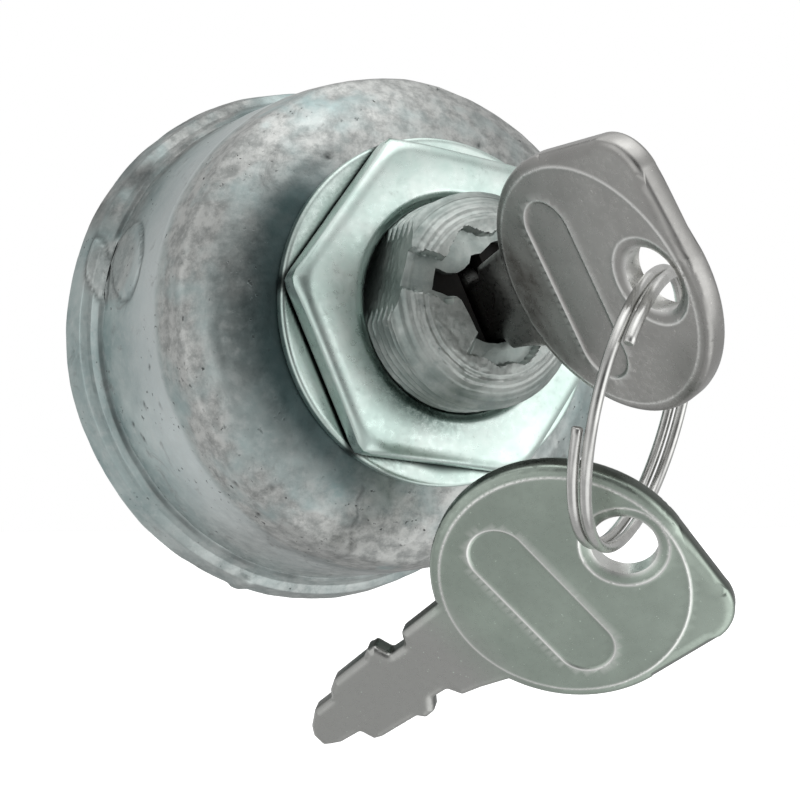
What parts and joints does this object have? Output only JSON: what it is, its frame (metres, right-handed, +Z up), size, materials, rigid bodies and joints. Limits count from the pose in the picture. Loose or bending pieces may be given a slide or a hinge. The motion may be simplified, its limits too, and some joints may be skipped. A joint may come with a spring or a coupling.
{
  "type": "keyed rotary ignition switch",
  "caption": "Panel-mounted rotary ignition switch in a die-cast cup with a threaded stem, hex nut and washer, blade terminals behind, and its keys on a split ring.",
  "frame": {"origin": "on the switch's axis, in the plane of the seat that bears on the panel", "axes": "-Y runs forward along the stem, out of the panel; +Z up; +X to the right seen from the front"},
  "size_m": [0.046, 0.0621, 0.0558],
  "materials": {
    "zinc": "as cast, dull, stained",
    "plated_steel": "zinc plated, bright, slightly green",
    "nickel": "nickel plated, satin",
    "wire": "bright wire",
    "brass": "stamped, plain",
    "phenolic": "moulded, matt black"
  },
  "bodies": {
    "housing": {"housing": "zinc", "hex_nut": "plated_steel", "washer": "plated_steel", "return_spring": "wire", "terminal_base": "phenolic", "contact_rivet_1": "brass", "contact_rivet_2": "brass", "contact_rivet_3": "brass", "contact_rivet_4": "brass", "contact_rivet_5": "brass", "blade_terminal_1": "brass", "blade_terminal_2": "brass", "blade_terminal_3": "brass", "blade_terminal_4": "brass", "blade_terminal_5": "brass"},
    "rotor": {"rotor": "zinc", "contact_carrier": "phenolic", "contact_bridge_a": "brass", "contact_bridge_b": "brass", "bridge_spring_a": "wire", "bridge_spring_b": "wire", "detent_ball_a": "wire", "detent_ball_b": "wire", "detent_spring_a": "wire", "detent_spring_b": "wire", "ignition_key": "nickel"},
    "key_ring": {"split_ring": "wire"},
    "spare_key": {"spare_key": "nickel"}
  },
  "joints": [
    {"name": "key_turn", "type": "hinge", "parent": "housing", "child": "rotor", "pos_m": [0, 0, 0], "axis": [0, 1, 0], "range_deg": [-49.7, 28.3], "deforming": ["return_spring"]},
    {"name": "ring_swing", "type": "hinge", "parent": "rotor", "child": "key_ring", "pos_m": [0.00046, -0.02668, -0.00093], "axis": [-0.8965, 0, -0.4431], "range_deg": [-18, 90]},
    {"name": "spare_key_swing", "type": "hinge", "parent": "key_ring", "child": "spare_key", "pos_m": [0.00362, -0.01828, -0.01694], "axis": [0.5924, 0.6156, 0.5197], "range_deg": [-80, 60]}
  ]
}
